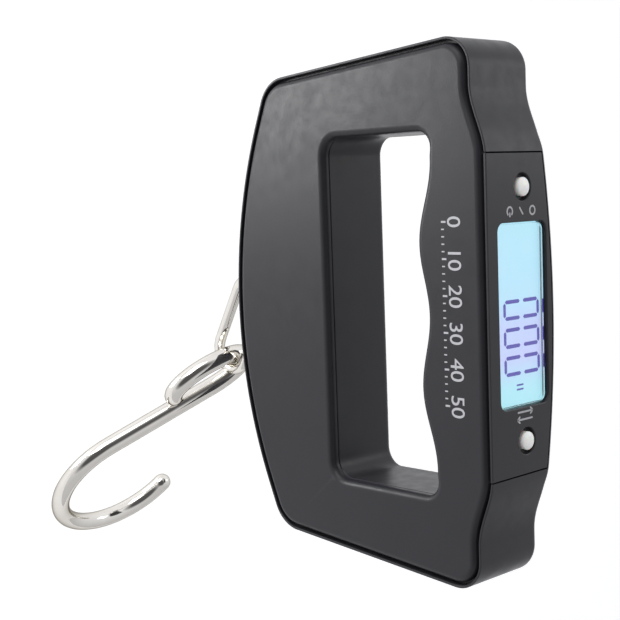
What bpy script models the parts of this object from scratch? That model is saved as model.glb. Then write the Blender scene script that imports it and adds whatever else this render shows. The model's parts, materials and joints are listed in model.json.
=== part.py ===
"""Hand-held digital luggage scale with a grip frame, a lit display and a hanging hook.

Frame: metres, +Z up as the scale is held, display bar on top and hook below, front face
towards -Y.  The origin is the middle of the finger edge that the hand pulls on.  Lengths
below are written in millimetres and turned into metres by MM.
"""
import math

import bmesh
import bpy
from mathutils import Matrix, Vector

MM = 0.001

# Case outline, seen from the front
HALF_DEPTH = 11.0
CASE_BOTTOM = -64.5
CASE_TOP = 18.3
SHOULDER = 14.4
BOTTOM_ARC_RADIUS = 120.0
SIDE_LOW = (57.0, -48.0)
SIDE_HIGH = (61.6, 6.0)
CORNER_RADIUS = 9.0
TOP_CORNER_RADIUS = 7.0
BULGE_FLAT = 35.5
BULGE_FOOT = 51.0
TOP_STEPS = 6

# The display bar is deeper in its middle: its rear bows out
REAR_BOW = 3.6
REAR_BOW_HALF = 40.0
BAR_LOW = -5.0

# Grip opening
GRIP_HALF = 41.5
GRIP_FLOOR = -31.1
GRIP_CORNER = 4.5
WAVE_HALF = 36.0
WAVE_MID = -0.5
WAVE_AMPLITUDE = 1.4
WAVE_PITCH = 34.0
WAVE_RISE = 1.3

# Shells
WALL = 2.0
GAP = 0.3
COVER_FRONT = -HALF_DEPTH
COVER_BACK = -8.8
COVER_INSET = 1.3
SHELL_RIM = COVER_BACK + GAP
LIP_FRONT = -10.5
LIP_THICK = 0.6
CAVITY_BACK = HALF_DEPTH - WALL
FRONT_ROUNDING = 1.6
REAR_ROUNDING = 2.2

# Display panel, on the top face
PANEL_HALF = 36.0
PANEL_BACK = 9.0
PANEL_UNDER = CASE_TOP - WALL
PANEL_STEPS = 14
PANEL_SEAT = PANEL_UNDER - 0.8
WINDOW_HALF = 20.7
WINDOW_FRONT = -6.8
WINDOW_BACK = 10.7
WINDOW_CORNER = 2.0
BUTTON_X = 28.5
BUTTON_Y = 2.2
BUTTON_RADIUS = 2.1
BUTTON_HOLE = 2.4
BUTTON_WELL = 3.05
BUTTON_WELL_DEPTH = 1.2
BUTTON_TOP = CASE_TOP + 0.9

# Circuit board and display stack, under the panel
BOARD_TOP = 9.2
BOARD_THICK = 1.2
GLASS_TOP = PANEL_UNDER - GAP
GLASS_THICK = 1.1
GLASS_HALF = 21.6
GLASS_FRONT = -7.6
GLASS_BACK = 10.5
STRIP_FRONT = 8.7

# Load cell, in the hook-side bar
CELL_HALF = 36.0
CELL_TOP = -42.0
CELL_HEIGHT = 10.0
CELL_HALF_DEPTH = 6.0
CELL_SCREW_X = 30.5
BASE_THICK = 2.0
BASE_HALF_DEPTH = 7.8

# Load eye, link and hook
EYE_CENTRE = Vector((0.0, 0.0, -66.3))
EYE_RING = 3.9
EYE_WIRE = 1.5
STUD_RADIUS = 2.5
WELL_RADIUS = 6.2
LINK_WIRE = 1.5
LINK_END = 5.6
LINK_REACH = 21.8
LINK_TILT = math.radians(60.0)
HOOK_WIRE = 2.5
HOOK_PLANE = math.radians(41.0)
HOOK_LEAN = math.radians(18.0)
HOOK_EYE_LONG = 11.4
HOOK_EYE_WIDE = 5.7
HOOK_EYE_CLOSING = 2.4
HOOK_BEND = 19.4
HOOK_SPAN = 41.4
HOOK_SWEEP = math.radians(220.0)
CONTACT = LINK_WIRE + HOOK_WIRE + 1.5

# Batteries, one in each side column
CELL_RADIUS = 5.25
BATTERY_X = 49.35
BATTERY_Y = 3.3
BATTERY_LOW = -46.0
BATTERY_LENGTH = 43.5
NUB_RADIUS = 1.9
NUB_LENGTH = 1.0
DOOR_INNER = 44.3
DOOR_LOW = -51.2
DOOR_HIGH = 1.2
DOOR_UNDER = CAVITY_BACK + 0.2

# Case screws: places on the rear, x and z
SCREW_PLACES = ((-40.3, -40.0), (40.3, -40.0), (-46.5, 8.0), (46.5, 8.0))
BOSS_RADIUS = 3.0
BOSS_MEET = -1.3
SCREW_HOLE = 1.4
SCREW_HEAD_HOLE = 2.6
SCREW_SEAT = 6.0

MATERIALS = {
    "case_plastic": ((0.055, 0.055, 0.062), 0.42, 0.0),
    "panel_plastic": ((0.040, 0.040, 0.046), 0.40, 0.0),
    "button_plastic": ((0.80, 0.81, 0.78), 0.35, 0.0),
    "clear_plastic": ((0.85, 0.93, 0.96), 0.08, 0.0),
    "display_glass": ((0.55, 0.80, 0.92), 0.12, 0.0),
    "backlight": ((0.80, 0.90, 0.98), 0.40, 0.0),
    "white_plastic": ((0.78, 0.78, 0.76), 0.45, 0.0),
    "zebra_rubber": ((0.35, 0.33, 0.34), 0.70, 0.0),
    "board": ((0.03, 0.16, 0.07), 0.45, 0.0),
    "chip_plastic": ((0.02, 0.02, 0.022), 0.55, 0.0),
    "alloy": ((0.62, 0.63, 0.65), 0.38, 1.0),
    "zinc_steel": ((0.56, 0.57, 0.58), 0.30, 1.0),
    "chrome": ((0.80, 0.80, 0.81), 0.08, 1.0),
    "gauge_film": ((0.62, 0.40, 0.16), 0.50, 0.0),
    "battery_jacket": ((0.05, 0.12, 0.30), 0.35, 0.3),
    "lead_insulation": ((0.45, 0.04, 0.03), 0.50, 0.0),
    "cable_jacket": ((0.30, 0.30, 0.31), 0.55, 0.0),
}


# ---------------------------------------------------------------- scene and materials

def clear_scene():
    for item in list(bpy.data.objects):
        bpy.data.objects.remove(item, do_unlink=True)


def new_collection(name):
    group = bpy.data.collections.new(name)
    bpy.context.scene.collection.children.link(group)
    return group


def make_materials():
    made = {}
    for name, (colour, roughness, metallic) in MATERIALS.items():
        material = bpy.data.materials.new(name)
        material.use_nodes = True
        shader = material.node_tree.nodes["Principled BSDF"]
        shader.inputs["Base Color"].default_value = (*colour, 1.0)
        shader.inputs["Roughness"].default_value = roughness
        shader.inputs["Metallic"].default_value = metallic
        made[name] = material
    return made


clear_scene()
PARTS = new_collection("luggage_scale")
CUTTERS = new_collection("cutters")
SURFACE = make_materials()


# ---------------------------------------------------------------- modelling helpers

def add_object(name, mesh, material=None):
    """A sub-part when a material is named, a cutter otherwise."""
    item = bpy.data.objects.new(name, mesh)
    if material:
        mesh.materials.clear()
        mesh.materials.append(SURFACE[material])
        PARTS.objects.link(item)
    else:
        CUTTERS.objects.link(item)
        item.hide_render = True
        item.display_type = "WIRE"
    return item


def mesh_from(name, build):
    mesh = bpy.data.meshes.new(name)
    work = bmesh.new()
    build(work)
    bmesh.ops.recalc_face_normals(work, faces=work.faces)
    work.to_mesh(mesh)
    work.free()
    return mesh


def smooth(mesh, degrees=35):
    mesh.shade_smooth()
    mesh.set_sharp_from_angle(angle=math.radians(degrees))
    return mesh


def block(name, low, high, material=None, rounding=0.0):
    """A box between two corners, in millimetres, with an optional edge rounding."""
    low, high = Vector(low), Vector(high)

    def build(work):
        bmesh.ops.create_cube(work, size=MM)
        bmesh.ops.scale(work, vec=high - low, verts=work.verts)

    item = add_object(name, mesh_from(name, build), material)
    item.location = (low + high) / 2 * MM
    if rounding:
        round_edges(item, rounding, 2)
    return item


def round_edges(item, width, segments, angle=60):
    edge = item.modifiers.new("rounding", "BEVEL")
    edge.width = width * MM
    edge.segments = segments
    edge.limit_method = "ANGLE"
    edge.angle_limit = math.radians(angle)
    return edge


def round_rim(item, depth, width, segments):
    """Round the outline edges that lie at one depth, on a plate."""
    work = bmesh.new()
    work.from_mesh(item.data)
    weight = work.edges.layers.float.new("bevel_weight_edge")
    for edge in work.edges:
        at_depth = all(abs(v.co.y - depth * MM) < 0.01 * MM for v in edge.verts)
        if at_depth and edge.calc_face_angle() > math.radians(60):
            edge[weight] = 1.0
    work.to_mesh(item.data)
    work.free()
    rounding = item.modifiers.new("rim_rounding", "BEVEL")
    rounding.width = width * MM
    rounding.segments = segments
    rounding.limit_method = "WEIGHT"


def rod(name, radius, start, end, material=None, sides=24, tip_radius=None):
    """A cylinder or cone from one point to another, in millimetres."""
    start, end = Vector(start), Vector(end)
    axis = end - start

    def build(work):
        bmesh.ops.create_cone(
            work, cap_ends=True, segments=sides, radius1=radius * MM,
            radius2=(radius if tip_radius is None else tip_radius) * MM, depth=axis.length * MM)

    item = add_object(name, smooth(mesh_from(name, build)), material)
    item.location = (start + end) / 2 * MM
    item.rotation_euler = axis.to_track_quat("Z", "Y").to_euler()
    return item


def turned(name, profile, foot, axis, material=None, sides=24):
    """A solid of revolution: (radius, height) from the top down, closed on the axis."""
    mesh = bpy.data.meshes.new(name)
    points = [(radius * MM, 0.0, height * MM) for radius, height in profile]
    mesh.from_pydata(points, [(i, i + 1) for i in range(len(points) - 1)], [])
    item = add_object(name, mesh, material)
    turn = item.modifiers.new("turn", "SCREW")
    turn.steps = turn.render_steps = sides
    turn.use_merge_vertices = True
    turn.merge_threshold = 0.00001
    item.location = Vector(foot) * MM
    item.rotation_euler = Vector(axis).to_track_quat("Z", "Y").to_euler()
    return item


def curve_to_mesh(curve_item, name, material):
    """Freeze a curve object into a welded mesh object at the same place."""
    bpy.context.view_layer.update()
    graph = bpy.context.evaluated_depsgraph_get()
    mesh = bpy.data.meshes.new_from_object(curve_item.evaluated_get(graph))
    mesh.name = name
    work = bmesh.new()
    work.from_mesh(mesh)
    bmesh.ops.remove_doubles(work, verts=work.verts, dist=0.000002)
    bmesh.ops.transform(work, matrix=curve_item.matrix_world, verts=work.verts)
    bmesh.ops.recalc_face_normals(work, faces=work.faces)
    work.to_mesh(mesh)
    work.free()
    bpy.data.objects.remove(curve_item, do_unlink=True)
    return add_object(name, smooth(mesh), material)


def plate(name, loops, low, high, material=None, upright=True):
    """A plate: the first loop is its edge, the others are holes.

    An upright plate has its loops in X and Z and its thickness along Y; a level one has its
    loops in X and Y and its thickness along Z.
    """
    curve = bpy.data.curves.new(name + "_outline", "CURVE")
    curve.dimensions = "2D"
    curve.fill_mode = "BOTH"
    curve.extrude = (high - low) / 2 * MM
    for loop in loops:
        line = curve.splines.new("POLY")
        line.points.add(len(loop) - 1)
        for point, (across, along) in zip(line.points, loop):
            point.co = (across * MM, along * MM, 0.0, 1.0)
        line.use_cyclic_u = True
    outline = bpy.data.objects.new(name + "_outline", curve)
    CUTTERS.objects.link(outline)
    middle = (low + high) / 2 * MM
    if upright:
        outline.rotation_euler = (math.pi / 2, 0.0, 0.0)
        outline.location = (0.0, middle, 0.0)
    else:
        outline.location = (0.0, 0.0, middle)
    return curve_to_mesh(outline, name, material)


def wire(name, points, radius, material, resolution=2, closed=False):
    """A round wire through points in millimetres: a closed ring, or one with filled ends."""
    curve = bpy.data.curves.new(name + "_path", "CURVE")
    curve.dimensions = "3D"
    curve.bevel_depth = radius * MM
    curve.bevel_resolution = resolution
    curve.use_fill_caps = True
    line = curve.splines.new("POLY")
    line.points.add(len(points) - 1)
    for point, place in zip(line.points, points):
        point.co = (*(Vector(place) * MM), 1.0)
    line.use_cyclic_u = closed
    path = bpy.data.objects.new(name + "_path", curve)
    CUTTERS.objects.link(path)
    return curve_to_mesh(path, name, material)


def boolean(item, other, operation):
    change = item.modifiers.new(operation.lower(), "BOOLEAN")
    change.operation = operation
    change.solver = "EXACT"
    change.object = other


def cut(item, *cutters):
    for cutter in cutters:
        boolean(item, cutter, "DIFFERENCE")


def unite(item, *others):
    for other in others:
        boolean(item, other, "UNION")


def spline_through(route, step=2.5):
    """Points along a smooth Catmull-Rom curve through the route's own points."""
    route = [Vector(p) for p in route]
    ends = [route[0] * 2 - route[1]] + route + [route[-1] * 2 - route[-2]]
    points = []
    for i in range(1, len(ends) - 2):
        a, b, c, d = ends[i - 1:i + 3]
        pieces = max(2, round((c - b).length / step))
        for k in range(pieces):
            t = k / pieces
            points.append(0.5 * (2 * b + (c - a) * t + (2 * a - 5 * b + 4 * c - d) * t * t
                                 + (3 * b - a - 3 * c + d) * t ** 3))
    points.append(route[-1])
    return points


# ---------------------------------------------------------------- outlines in the XZ plane

def rounded(corners, segments=5):
    """Replace each (x, z, radius) corner of a closed loop by an arc; radius 0 keeps the point."""
    loop = []
    count = len(corners)
    for i, (x, z, radius) in enumerate(corners):
        here = Vector((x, z))
        if not radius:
            loop.append((x, z))
            continue
        before = (Vector(corners[i - 1][:2]) - here).normalized()
        after = (Vector(corners[(i + 1) % count][:2]) - here).normalized()
        half = before.angle(after) / 2
        setback = radius / math.tan(half)
        centre = here + (before + after).normalized() * (radius / math.sin(half))
        start = here + before * setback - centre
        end = here + after * setback - centre
        turn = start.angle_signed(end)
        for k in range(segments + 1):
            arm = start.copy()
            arm.rotate(Matrix.Rotation(-turn * k / segments, 2))
            loop.append(tuple(centre + arm))
    return loop


def offset(loop, distance):
    """Move an anticlockwise loop outwards by a distance, or inwards if it is negative."""
    moved = []
    count = len(loop)
    for i in range(count):
        here = Vector(loop[i])
        back = (here - Vector(loop[i - 1])).normalized()
        ahead = (Vector(loop[(i + 1) % count]) - here).normalized()
        normal_a = Vector((back.y, -back.x))
        normal_b = Vector((ahead.y, -ahead.x))
        middle = (normal_a + normal_b).normalized()
        moved.append(tuple(here + middle * (distance / middle.dot(normal_a))))
    return moved


def bottom_edge(x):
    """Height of the bowed hook-side edge."""
    return CASE_BOTTOM + BOTTOM_ARC_RADIUS - math.sqrt(BOTTOM_ARC_RADIUS ** 2 - x * x)


def case_outline():
    """The whole front outline, anticlockwise from the hook-side vertex."""
    steps = 7
    reach = 46.0
    half = [(reach * k / steps, bottom_edge(reach * k / steps), 0.0) for k in range(1, steps + 1)]
    half.append((*side_meets_bottom(reach), CORNER_RADIUS))
    half.append((*SIDE_HIGH, 0.0))
    lean = (SIDE_HIGH[0] - SIDE_LOW[0]) / (SIDE_HIGH[1] - SIDE_LOW[1])
    half.append((SIDE_HIGH[0] + lean * (SHOULDER - SIDE_HIGH[1]), SHOULDER, TOP_CORNER_RADIUS))
    rise = 8
    for k in range(rise + 1):
        share = k / rise
        x = BULGE_FOOT + (BULGE_FLAT - BULGE_FOOT) * share
        ease = share * share * (3 - 2 * share)
        half.append((x, SHOULDER + (CASE_TOP - SHOULDER) * ease, 0.0))
    for k in range(1, TOP_STEPS):
        half.append((BULGE_FLAT * (1 - k / TOP_STEPS), CASE_TOP, 0.0))
    mirrored = [(-x, z, radius) for x, z, radius in reversed(half)]
    return rounded([(0.0, CASE_BOTTOM, 0.0), *half, (0.0, CASE_TOP, 0.0), *mirrored], 6)


def side_meets_bottom(reach):
    """Where the leaning side line meets the tangent that leaves the bottom arc at reach."""
    slope = reach / math.sqrt(BOTTOM_ARC_RADIUS ** 2 - reach ** 2)
    lean = (SIDE_HIGH[0] - SIDE_LOW[0]) / (SIDE_HIGH[1] - SIDE_LOW[1])
    start = bottom_edge(reach)
    z = (start + slope * (SIDE_LOW[0] - lean * SIDE_LOW[1] - reach)) / (1 - slope * lean)
    return SIDE_LOW[0] + lean * (z - SIDE_LOW[1]), z


def finger_edge(x):
    """Height of the wavy edge that the fingers pull on."""
    wave = WAVE_AMPLITUDE * math.cos(2 * math.pi * x / WAVE_PITCH)
    return WAVE_MID + wave + WAVE_RISE * (x / WAVE_HALF) ** 2


def grip_outline():
    """The hand opening, anticlockwise from its lower left corner."""
    steps = 24
    corners = [(-GRIP_HALF, GRIP_FLOOR, GRIP_CORNER), (GRIP_HALF, GRIP_FLOOR, GRIP_CORNER),
               (GRIP_HALF, finger_edge(WAVE_HALF) + 0.6, 3.6)]
    for k in range(steps + 1):
        x = WAVE_HALF - 2 * WAVE_HALF * k / steps
        corners.append((x, finger_edge(x), 0.0))
    corners.append((-GRIP_HALF, finger_edge(WAVE_HALF) + 0.6, 3.6))
    return rounded(corners, 5)


def rear_bow(x):
    """How far the rear of the display bar stands out behind the rest of the case."""
    return REAR_BOW * max(0.0, 1.0 - (x / REAR_BOW_HALF) ** 2)


CASE_LOOP = case_outline()
GRIP_LOOP = grip_outline()


# ---------------------------------------------------------------- case

def bow_rear(item, depth):
    """Bow out the flat rear face of a plate along the display bar."""
    work = bmesh.new()
    work.from_mesh(item.data)
    rear = {v for v in work.verts if abs(v.co.y - depth * MM) < 0.01 * MM}
    flat = {face for face in work.faces if rear.issuperset(face.verts)}
    inner = [edge for edge in work.edges if flat.issuperset(edge.link_faces)]
    bmesh.ops.beautify_fill(work, faces=list(flat), edges=inner)
    for vertex in rear:
        if vertex.co.z > BAR_LOW * MM:
            vertex.co.y += rear_bow(vertex.co.x / MM) * MM
    work.to_mesh(item.data)
    work.free()


def case_blank(name, material=None):
    """The solid outer form of the rear shell, with its rounded rear edges."""
    blank = plate(name, [CASE_LOOP, GRIP_LOOP], LIP_FRONT, HALF_DEPTH, material)
    round_rim(blank, HALF_DEPTH, REAR_ROUNDING, 3)
    bow_rear(blank, HALF_DEPTH)
    return blank


def panel_loop(growth, front):
    """The display panel's outline from above: its rear edge follows the bowed rear."""
    half = PANEL_HALF + growth
    loop = [(-half, front), (half, front)]
    for k in range(PANEL_STEPS + 1):
        x = half - 2 * half * k / PANEL_STEPS
        loop.append((x, PANEL_BACK + growth + rear_bow(x)))
    return loop


def door_zone(name, side, clearance):
    """The block that a battery door fills, grown by a clearance on its free edges."""
    reach = sorted((side * (DOOR_INNER - clearance), side * 70.0))
    return block(name, (reach[0], DOOR_UNDER - clearance, DOOR_LOW - clearance),
                 (reach[1], HALF_DEPTH + 5.0, DOOR_HIGH + clearance))


def rear_shell():
    shell = case_blank("rear_shell", "case_plastic")
    cover_seat = plate("cover_seat", [offset(CASE_LOOP, -LIP_THICK)], LIP_FRONT - 1.0, SHELL_RIM)
    cavity = plate("shell_cavity", [offset(CASE_LOOP, -WALL), offset(GRIP_LOOP, WALL)],
                   SHELL_RIM - 1.0, CAVITY_BACK)
    bow_rear(cavity, CAVITY_BACK)
    panel_notch = plate("panel_notch", [panel_loop(GAP, LIP_FRONT - 1.0)], PANEL_SEAT, CASE_TOP + 2.0,
                        upright=False)
    well = rod("eye_well", WELL_RADIUS, (0, 0, CASE_BOTTOM - 2), (0, 0, CASE_BOTTOM + 6), sides=32)
    cut(shell, cover_seat, cavity, panel_notch, well)
    for side, tag in ((-1, "left"), (1, "right")):
        cut(shell, door_zone("door_opening_" + tag, side, GAP))
        post = block("base_post_" + tag, (side * 33.5 - 2.5, -6.0, -58.7),
                     (side * 33.5 + 2.5, CAVITY_BACK + 0.5, CELL_TOP - CELL_HEIGHT - BASE_THICK - 2 * GAP))
        unite(shell, post)
    for i, (x, z) in enumerate(SCREW_PLACES, 1):
        unite(shell, rod(f"shell_boss_{i}", BOSS_RADIUS + 0.4, (x, BOSS_MEET + GAP, z),
                         (x, CAVITY_BACK + 0.5, z), sides=20))
        cut(shell,
            rod(f"screw_bore_{i}", SCREW_HOLE, (x, BOSS_MEET - 2, z), (x, HALF_DEPTH + 2, z), sides=16),
            rod(f"head_bore_{i}", SCREW_HEAD_HOLE, (x, SCREW_SEAT, z), (x, HALF_DEPTH + 2, z), sides=20))
    return shell


def front_cover():
    """A plate set inside the shell's lip, with four blind screw bosses behind it."""
    cover = plate("front_cover", [offset(CASE_LOOP, -COVER_INSET), GRIP_LOOP], COVER_FRONT, COVER_BACK,
                  "case_plastic")
    round_rim(cover, COVER_FRONT, FRONT_ROUNDING, 3)
    for i, (x, z) in enumerate(SCREW_PLACES, 1):
        unite(cover, rod(f"cover_boss_{i}", BOSS_RADIUS, (x, COVER_BACK - 0.5, z), (x, BOSS_MEET, z),
                         sides=20))
        cut(cover, rod(f"pilot_bore_{i}", SCREW_HOLE, (x, COVER_BACK + 0.8, z), (x, BOSS_MEET + 2, z),
                       sides=16))
    return cover


def window_loop(inset):
    """The rounded outline of the display window, moved inwards by an inset."""
    x, front, back = WINDOW_HALF - inset, WINDOW_FRONT + inset, WINDOW_BACK - inset
    corner = WINDOW_CORNER - inset
    return rounded([(-x, front, corner), (x, front, corner), (x, back, corner), (-x, back, corner)], 4)


def display_panel():
    """The insert of the top face, with the window and two stepped button holes."""
    panel = plate("display_panel", [panel_loop(0.0, LIP_FRONT)], PANEL_UNDER, CASE_TOP, "panel_plastic",
                  upright=False)
    cut(panel,
        block("panel_lip_relief", (-PANEL_HALF - 1, LIP_FRONT - 1, PANEL_UNDER - 1),
              (PANEL_HALF + 1, SHELL_RIM, CASE_TOP - LIP_THICK)),
        plate("window_opening", [window_loop(0.0)], PANEL_UNDER - 2, CASE_TOP + 2, upright=False))
    for side, tag in ((-1, "tare"), (1, "unit")):
        x = side * BUTTON_X
        cut(panel,
            rod(f"{tag}_hole", BUTTON_HOLE, (x, BUTTON_Y, PANEL_UNDER - 2), (x, BUTTON_Y, CASE_TOP + 2)),
            rod(f"{tag}_well", BUTTON_WELL, (x, BUTTON_Y, CASE_TOP - BUTTON_WELL_DEPTH),
                (x, BUTTON_Y, CASE_TOP + 3), sides=28))
    return panel


def battery_door(side, tag):
    """A flush door cut from the shell's own outer form, with a thumb grip."""
    door = case_blank(f"battery_door_{tag}", "case_plastic")
    boolean(door, door_zone(f"door_form_{tag}", side, 0.0), "INTERSECT")
    for k in range(3):
        z = (DOOR_LOW + DOOR_HIGH) / 2 + (k - 1) * 2.4
        ends = sorted((side * 47.5, side * 54.0))
        cut(door, block(f"thumb_groove_{tag}_{k}", (ends[0], HALF_DEPTH - 0.5, z - 0.5),
                        (ends[1], HALF_DEPTH + 1.0, z + 0.5)))
    return door


def case_screw(index, x, z):
    head, neck, tip = 2.2, 1.1, 0.5
    length, head_height = 13.0, 1.5
    screw = turned(f"case_screw_{index}", [
        (0.0, head_height), (head * 0.7, head_height), (head, head_height * 0.6), (head, 0.0),
        (neck, 0.0), (neck, -length + 1.2), (tip, -length), (0.0, -length)],
        (x, SCREW_SEAT + GAP, z), (0, 1, 0), "zinc_steel", 16)
    for k, (wide, deep) in enumerate(((1.3, 0.3), (0.3, 1.3))):
        cut(screw, block(f"recess_{index}_{k}", (x - wide, SCREW_SEAT + GAP + head_height - 0.9, z - deep),
                         (x + wide, SCREW_SEAT + GAP + head_height + 1.0, z + deep)))
    return screw


# ---------------------------------------------------------------- display and buttons

def display_stack():
    """Window, glass, light guide and connector strip, held by a frame on the board."""
    light_top = GLASS_TOP - GLASS_THICK - GAP
    board_clear = BOARD_TOP + GAP
    plate("display_window", [window_loop(GAP)], PANEL_UNDER + 0.2, PANEL_UNDER + 1.2, "clear_plastic",
          upright=False)
    block("lcd_glass", (-GLASS_HALF, GLASS_FRONT, GLASS_TOP - GLASS_THICK),
          (GLASS_HALF, GLASS_BACK, GLASS_TOP), "display_glass")
    block("lcd_backlight", (-GLASS_HALF, GLASS_FRONT, light_top - 2.0),
          (GLASS_HALF, STRIP_FRONT - 0.4, light_top), "backlight")
    block("elastomer_connector", (-20.0, STRIP_FRONT, board_clear), (20.0, GLASS_BACK - 0.2, light_top),
          "zebra_rubber")
    frame = block("lcd_frame", (-GLASS_HALF - 1.2, GLASS_FRONT - 0.7, board_clear),
                  (GLASS_HALF + 1.2, GLASS_BACK + 0.6, GLASS_TOP), "white_plastic")
    cut(frame, block("lcd_frame_opening", (-GLASS_HALF - GAP, GLASS_FRONT - GAP, BOARD_TOP - 1),
                     (GLASS_HALF + GAP, GLASS_BACK + 0.2, GLASS_TOP + 1)))


def main_board():
    """The circuit board: a tongue at its rear carries the connector strip."""
    side, tongue, back = 35.0, 21.0, 8.0
    loop = [(-side, -back), (side, -back), (side, back), (tongue, back), (tongue, GLASS_BACK + 0.2),
            (-tongue, GLASS_BACK + 0.2), (-tongue, back), (-side, back)]
    plate("main_board", [loop], BOARD_TOP - BOARD_THICK, BOARD_TOP, "board", upright=False)
    chip_top = BOARD_TOP - BOARD_THICK - GAP
    block("controller_chip", (-6.0, -4.0, chip_top - 1.6), (6.0, 4.0, chip_top), "chip_plastic")
    block("amplifier_chip", (14.0, -2.5, chip_top - 1.5), (19.0, 2.5, chip_top), "chip_plastic")


def button(side, tag):
    """A round button over a tact switch; the switch's plunger moves with it."""
    x, y = side * BUTTON_X, BUTTON_Y
    flange_top = PANEL_UNDER - GAP
    turned(f"{tag}_button", [
        (0.0, BUTTON_TOP), (BUTTON_RADIUS * 0.55, BUTTON_TOP - 0.08),
        (BUTTON_RADIUS * 0.88, BUTTON_TOP - 0.3),
        (BUTTON_RADIUS, BUTTON_TOP - 0.7), (BUTTON_RADIUS, flange_top), (3.2, flange_top),
        (3.2, flange_top - 1.0), (0.0, flange_top - 1.0)], (x, y, 0), (0, 0, 1), "button_plastic", 24)
    top = BOARD_TOP + GAP + 3.4
    switch = block(f"{tag}_switch", (x - 3, y - 3, BOARD_TOP + GAP), (x + 3, y + 3, top), "chip_plastic")
    cut(switch, rod(f"{tag}_switch_bore", 2.0, (x, y, top - 2.2), (x, y, top + 1), sides=20))
    rod(f"{tag}_plunger", 1.7, (x, y, top - 1.2), (x, y, flange_top - 1.0 - GAP), "white_plastic", 20)


# ---------------------------------------------------------------- load cell

def load_cell():
    """A two-ended bending beam with a centre hole for the eye's stud."""
    bottom = CELL_TOP - CELL_HEIGHT
    middle = (CELL_TOP + bottom) / 2
    cell = block("load_cell", (-CELL_HALF, -CELL_HALF_DEPTH, bottom), (CELL_HALF, CELL_HALF_DEPTH, CELL_TOP),
                 "alloy")
    cut(cell, rod("stud_bore", STUD_RADIUS + 0.4, (0, 0, bottom - 2), (0, 0, CELL_TOP + 2), sides=24))
    base = block("load_cell_base", (-CELL_HALF, -BASE_HALF_DEPTH, bottom - GAP - BASE_THICK),
                 (CELL_HALF, BASE_HALF_DEPTH, bottom - GAP), "zinc_steel")
    cut(base, rod("base_bore", WELL_RADIUS, (0, 0, bottom - 6), (0, 0, bottom + 2), sides=24))
    for side, tag in ((-1, "left"), (1, "right")):
        cut(cell, rod(f"flexure_bore_{tag}", 3.4, (side * 17.0, -CELL_HALF_DEPTH - 2, middle),
                      (side * 17.0, CELL_HALF_DEPTH + 2, middle), sides=20))
        x = side * CELL_SCREW_X
        for item, low, high in ((cell, bottom - 2, CELL_TOP + 2), (base, bottom - 6, bottom + 2)):
            cut(item, rod(f"{item.name}_screw_bore_{tag}", 1.9, (x, 0, low), (x, 0, high), sides=16))
        screw_foot = CELL_TOP + GAP
        reach = CELL_HEIGHT + BASE_THICK + GAP
        turned(f"load_cell_screw_{tag}", [
            (0.0, 2.0), (2.4, 2.0), (3.2, 1.2), (3.2, 0.0), (1.6, 0.0), (1.6, -reach), (0.0, -reach)],
            (x, 0, screw_foot), (0, 0, 1), "zinc_steel", 16)
        block(f"strain_gauge_{tag}", (side * 17.0 - 3.5, -2.5, CELL_TOP + GAP),
              (side * 17.0 + 3.5, 2.5, CELL_TOP + GAP + 0.6), "gauge_film")


# ---------------------------------------------------------------- eye, link and hook

def load_eye():
    """A stud with a ring at its foot, held by a washer and a nut on the load cell."""
    washer_low, nut_low = CELL_TOP + GAP, CELL_TOP + GAP + 1.0 + GAP
    stud_top = nut_low + 5.0
    ring = [EYE_CENTRE + Vector((0.0, math.cos(a), math.sin(a))) * EYE_RING
            for a in (2 * math.pi * k / 24 for k in range(24))]
    eye = wire("load_eye", ring, EYE_WIRE, "chrome", 2, closed=True)
    unite(eye, rod("stud", STUD_RADIUS, (0, 0, EYE_CENTRE.z + EYE_RING - 0.3), (0, 0, stud_top), sides=20))
    washer = rod("thrust_washer", 5.0, (0, 0, washer_low), (0, 0, washer_low + 1.0), "zinc_steel", 24)
    nut = rod("eye_nut", 4.6, (0, 0, nut_low), (0, 0, nut_low + 4.0), "zinc_steel", 6)
    for item in (washer, nut):
        cut(item, rod(item.name + "_bore", STUD_RADIUS + 0.3, (0, 0, washer_low - 2), (0, 0, stud_top + 2),
                      sides=20))


def link_frame():
    """Centre of the link's upper end arc, its direction of hang and its width direction."""
    centre = EYE_CENTRE + Vector((0, 0, -LINK_END))
    hang = Vector((math.sin(LINK_TILT), 0.0, -math.cos(LINK_TILT)))
    wide = Vector((math.cos(LINK_TILT), 0.0, math.sin(LINK_TILT)))
    return centre, hang, wide


def link():
    """An oval link; its upper arc runs through the load eye."""
    centre, hang, wide = link_frame()
    straight = LINK_REACH - LINK_END
    steps = 10
    points = []
    for k in range(steps + 1):
        a = math.pi * k / steps
        points.append(centre + wide * (LINK_END * math.cos(a)) - hang * (LINK_END * math.sin(a)))
    for k in range(steps + 1):
        a = math.pi * k / steps
        points.append(centre + hang * straight - wide * (LINK_END * math.cos(a))
                      + hang * (LINK_END * math.sin(a)))
    return wire("link", points, LINK_WIRE, "chrome", 2, closed=True)


def hook_frame():
    """The pin point on the link, the hook's load direction and its sideways direction."""
    centre, hang, _ = link_frame()
    pin = centre + hang * LINK_REACH
    normal = Vector((math.sin(HOOK_PLANE), 0.0, math.cos(HOOK_PLANE)))
    down = Vector((math.cos(HOOK_PLANE), 0.0, -math.sin(HOOK_PLANE)))
    load = down * math.cos(HOOK_LEAN) + Vector((0, -1, 0)) * math.sin(HOOK_LEAN)
    across = normal.cross(load)
    if across.y < 0:
        across = -across
    return pin, load, across


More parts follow.
